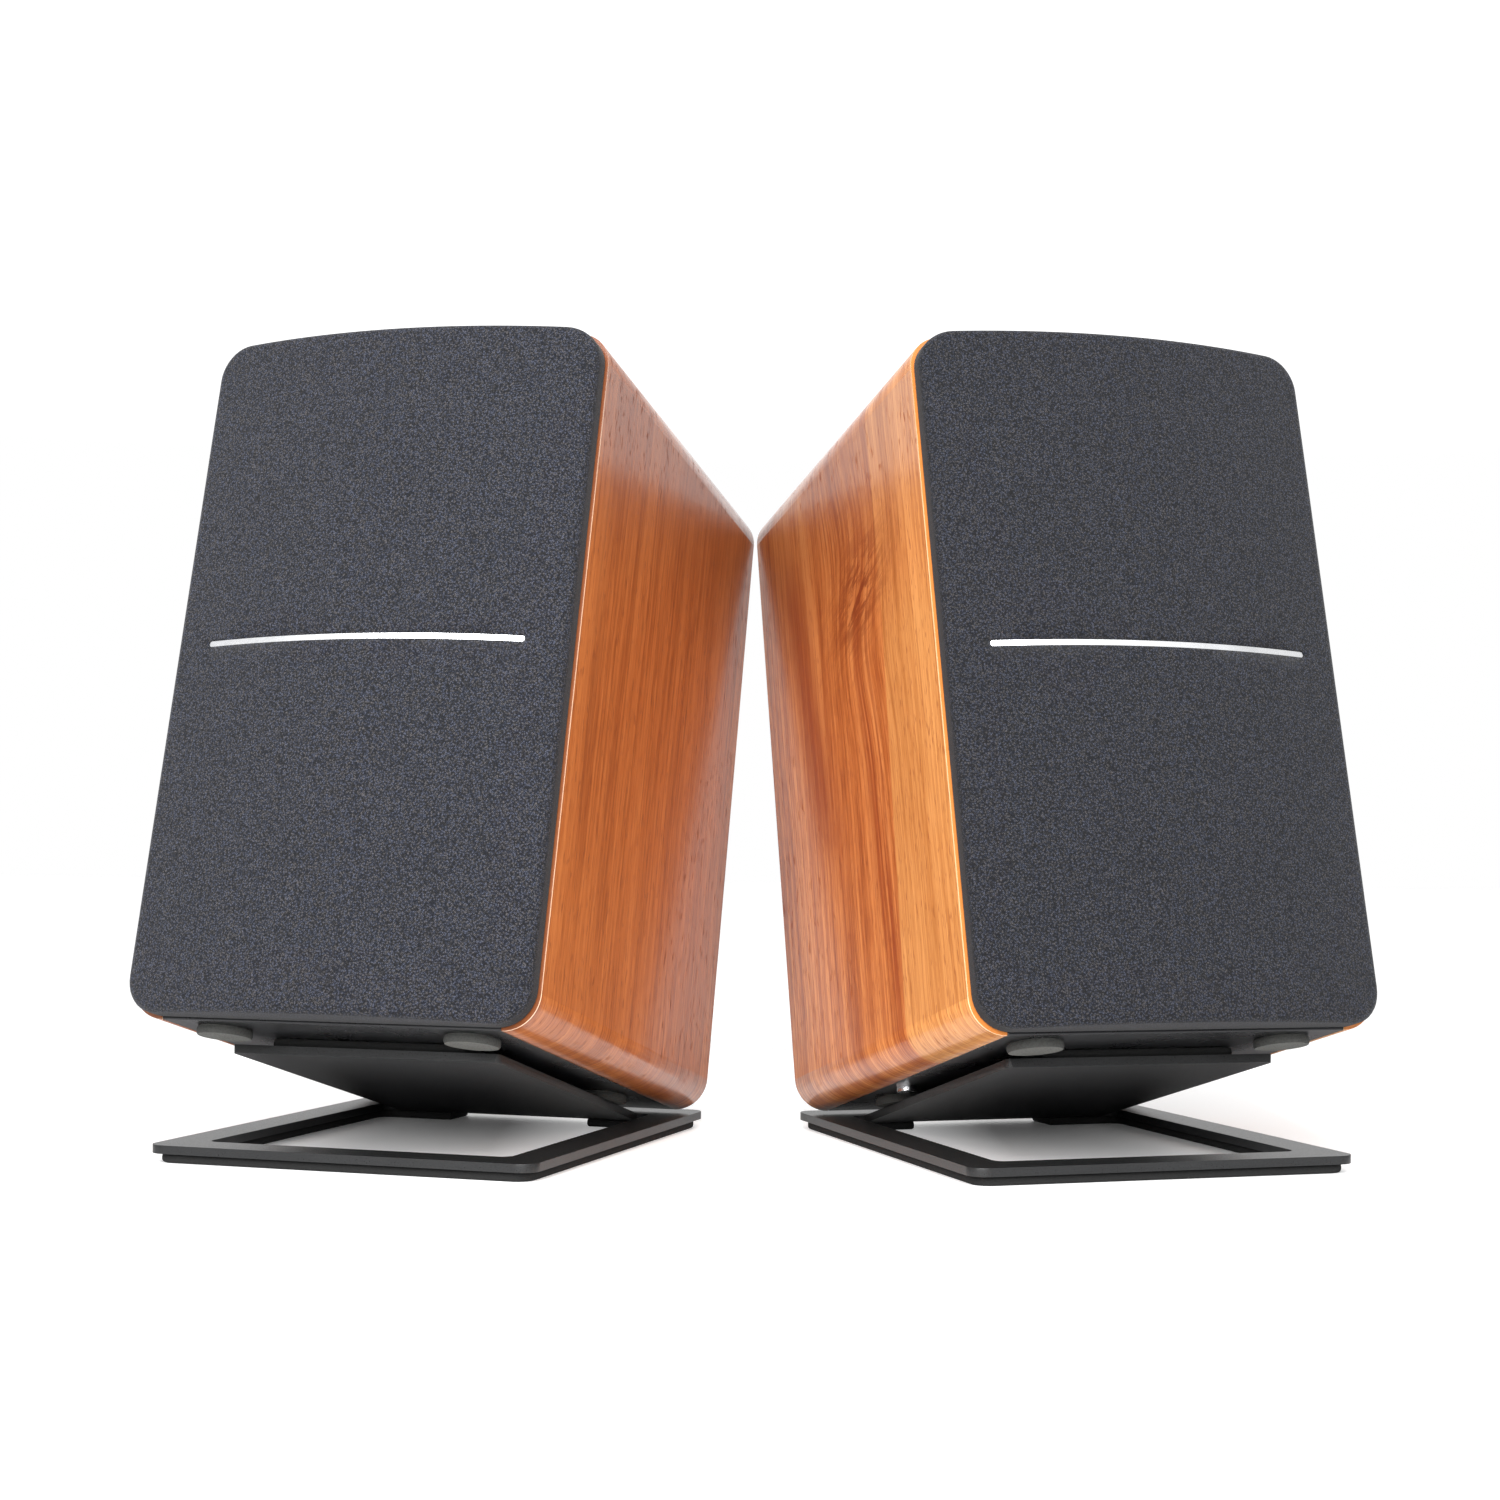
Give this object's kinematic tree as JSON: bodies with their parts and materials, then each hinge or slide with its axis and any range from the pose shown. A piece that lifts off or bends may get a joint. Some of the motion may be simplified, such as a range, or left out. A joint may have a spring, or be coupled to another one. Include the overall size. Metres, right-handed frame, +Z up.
{
  "type": "pair of desktop speakers",
  "caption": "Two-way wood-sided desktop speakers with convex cloth grilles, tilted back on low bent-steel stands; one holds the amplifier.",
  "frame": {"origin": "on the desk, at the centre of the pair's bounding box", "axes": "+Z up, -Y is the side the grilles face, +X to the right seen from the front; each speaker is toed outward by 17.8 degrees and tilted back by 14 degrees"},
  "size_m": [0.4062, 0.2556, 0.2789],
  "materials": {
    "stand_plates": "fine-textured powder coat",
    "stand_base_pads": "closed-cell foam",
    "stand_flap_pads": "closed-cell foam",
    "side_panels": "satin lacquered orange-brown veneer",
    "cabinet_shell": "satin black film on fibreboard",
    "front_baffle": "satin black film on fibreboard",
    "rear_board": "satin black film on fibreboard",
    "feet": "grey foam",
    "port_tube": "moulded",
    "grille_cloth": "fine woven cloth",
    "grille_frame": "moulded",
    "grille_strip": "satin",
    "woofer_basket": "satin",
    "woofer_motor": "zinc plated steel and bare ferrite",
    "woofer_surround": "matt",
    "woofer_spider": "resin-treated cloth",
    "woofer_cone": "pressed",
    "tweeter_faceplate": "moulded",
    "tweeter_dome": "coated silk",
    "tweeter_motor": "zinc plated steel and bare ferrite",
    "driver_screws": "black zinc",
    "terminal_block": "moulded",
    "terminal_lever_red": "moulded",
    "terminal_lever_black": "moulded",
    "crossover_board": "printed board with parts",
    "amp_plate": "satin black",
    "amp_plate_screws": "black zinc",
    "amp_board": "printed board with parts",
    "transformer": "laminated core with a taped winding",
    "transformer_screws": "bright zinc",
    "line_jacks": "bright",
    "power_inlet": "moulded",
    "power_switch_body": "moulded",
    "power_rocker": "moulded",
    "control_plate": "moulded",
    "control_board": "printed board with parts",
    "volume_knob": "moulded",
    "treble_knob": "moulded",
    "bass_knob": "moulded"
  },
  "bodies": {
    "stands": {"stand_plates": "stand_plates", "stand_base_pads": "stand_base_pads", "stand_flap_pads": "stand_flap_pads"},
    "left_speaker": {"left_side_panels": "side_panels", "left_cabinet_shell": "cabinet_shell", "left_front_baffle": "front_baffle", "left_rear_board": "rear_board", "left_feet": "feet", "left_port_tube": "port_tube", "left_woofer_basket": "woofer_basket", "left_woofer_motor": "woofer_motor", "left_tweeter_faceplate": "tweeter_faceplate", "left_tweeter_motor": "tweeter_motor", "left_driver_screws": "driver_screws", "left_terminal_block": "terminal_block", "left_crossover_board": "crossover_board", "left_woofer_surround": "woofer_surround", "left_woofer_spider": "woofer_spider"},
    "right_speaker": {"right_side_panels": "side_panels", "right_cabinet_shell": "cabinet_shell", "right_front_baffle": "front_baffle", "right_rear_board": "rear_board", "right_feet": "feet", "right_port_tube": "port_tube", "right_woofer_basket": "woofer_basket", "right_woofer_motor": "woofer_motor", "right_tweeter_faceplate": "tweeter_faceplate", "right_tweeter_motor": "tweeter_motor", "right_driver_screws": "driver_screws", "right_terminal_block": "terminal_block", "right_woofer_surround": "woofer_surround", "right_woofer_spider": "woofer_spider", "amp_plate": "amp_plate", "amp_plate_screws": "amp_plate_screws", "amp_board": "amp_board", "transformer": "transformer", "transformer_screws": "transformer_screws", "line_jacks": "line_jacks", "power_inlet": "power_inlet", "power_switch_body": "power_switch_body", "control_plate": "control_plate", "control_board": "control_board"},
    "left_grille": {"left_grille_cloth": "grille_cloth", "left_grille_frame": "grille_frame", "left_grille_strip": "grille_strip"},
    "left_woofer": {"left_woofer_cone": "woofer_cone"},
    "left_tweeter": {"left_tweeter_dome": "tweeter_dome"},
    "left_lever_red": {"left_terminal_lever_red": "terminal_lever_red"},
    "left_lever_black": {"left_terminal_lever_black": "terminal_lever_black"},
    "right_grille": {"right_grille_cloth": "grille_cloth", "right_grille_frame": "grille_frame", "right_grille_strip": "grille_strip"},
    "right_woofer": {"right_woofer_cone": "woofer_cone"},
    "right_tweeter": {"right_tweeter_dome": "tweeter_dome"},
    "right_lever_red": {"right_terminal_lever_red": "terminal_lever_red"},
    "right_lever_black": {"right_terminal_lever_black": "terminal_lever_black"},
    "volume": {"volume_knob": "volume_knob"},
    "treble": {"treble_knob": "treble_knob"},
    "bass": {"bass_knob": "bass_knob"},
    "rocker": {"power_rocker": "power_rocker"}
  },
  "joints": [
    {"name": "left_lift_off", "type": "slide", "parent": "stands", "child": "left_speaker", "axis": [0, 0, 1], "range_m": [0, 0.06]},
    {"name": "left_grille_pull", "type": "slide", "parent": "left_speaker", "child": "left_grille", "axis": [-0.2966, -0.9238, 0.2419], "range_m": [0, 0.03]},
    {"name": "left_woofer_stroke", "type": "slide", "parent": "left_speaker", "child": "left_woofer", "axis": [-0.2966, -0.9238, 0.2419], "range_m": [-0.003, 0.003], "stiffness_N_per_m": 900, "deforming": ["left_woofer_surround", "left_woofer_spider"]},
    {"name": "left_tweeter_stroke", "type": "slide", "parent": "left_speaker", "child": "left_tweeter", "axis": [-0.2966, -0.9238, 0.2419], "range_m": [-0.0003, 0.0003], "stiffness_N_per_m": 3000},
    {"name": "left_lever_red_press", "type": "hinge", "parent": "left_speaker", "child": "left_lever_red", "pos_m": [-0.0727, 0.0687, 0.06824], "axis": [-0.9521, 0.3057, 0], "range_deg": [0, 20], "stiffness_Nm_per_rad": 0.05},
    {"name": "left_lever_black_press", "type": "hinge", "parent": "left_speaker", "child": "left_lever_black", "pos_m": [-0.08642, 0.0731, 0.06824], "axis": [-0.9521, 0.3057, 0], "range_deg": [0, 20], "stiffness_Nm_per_rad": 0.05},
    {"name": "right_lift_off", "type": "slide", "parent": "stands", "child": "right_speaker", "axis": [0, 0, 1], "range_m": [0, 0.06]},
    {"name": "right_grille_pull", "type": "slide", "parent": "right_speaker", "child": "right_grille", "axis": [0.2966, -0.9238, 0.2419], "range_m": [0, 0.03]},
    {"name": "right_woofer_stroke", "type": "slide", "parent": "right_speaker", "child": "right_woofer", "axis": [0.2966, -0.9238, 0.2419], "range_m": [-0.003, 0.003], "stiffness_N_per_m": 900, "deforming": ["right_woofer_surround", "right_woofer_spider"]},
    {"name": "right_tweeter_stroke", "type": "slide", "parent": "right_speaker", "child": "right_tweeter", "axis": [0.2966, -0.9238, 0.2419], "range_m": [-0.0003, 0.0003], "stiffness_N_per_m": 3000},
    {"name": "right_lever_red_press", "type": "hinge", "parent": "right_speaker", "child": "right_lever_red", "pos_m": [0.08063, 0.09112, 0.13566], "axis": [-0.9521, -0.3057, 0], "range_deg": [0, 20], "stiffness_Nm_per_rad": 0.05},
    {"name": "right_lever_black_press", "type": "hinge", "parent": "right_speaker", "child": "right_lever_black", "pos_m": [0.06692, 0.08672, 0.13566], "axis": [-0.9521, -0.3057, 0], "range_deg": [0, 20], "stiffness_Nm_per_rad": 0.05},
    {"name": "volume_turn", "type": "hinge", "parent": "right_speaker", "child": "volume", "pos_m": [0.15064, 0.08341, 0.18818], "axis": [-0.9521, -0.3057, 0], "range_deg": [-150, 150]},
    {"name": "treble_turn", "type": "hinge", "parent": "right_speaker", "child": "treble", "pos_m": [0.15271, 0.07696, 0.16101], "axis": [-0.9521, -0.3057, 0], "range_deg": [-150, 150]},
    {"name": "bass_turn", "type": "hinge", "parent": "right_speaker", "child": "bass", "pos_m": [0.15478, 0.07051, 0.13384], "axis": [-0.9521, -0.3057, 0], "range_deg": [-150, 150]},
    {"name": "power_switch", "type": "hinge", "parent": "right_speaker", "child": "rocker", "pos_m": [0.10654, 0.06537, 0.04275], "axis": [-0.9521, -0.3057, 0], "range_deg": [0, 16]}
  ]
}
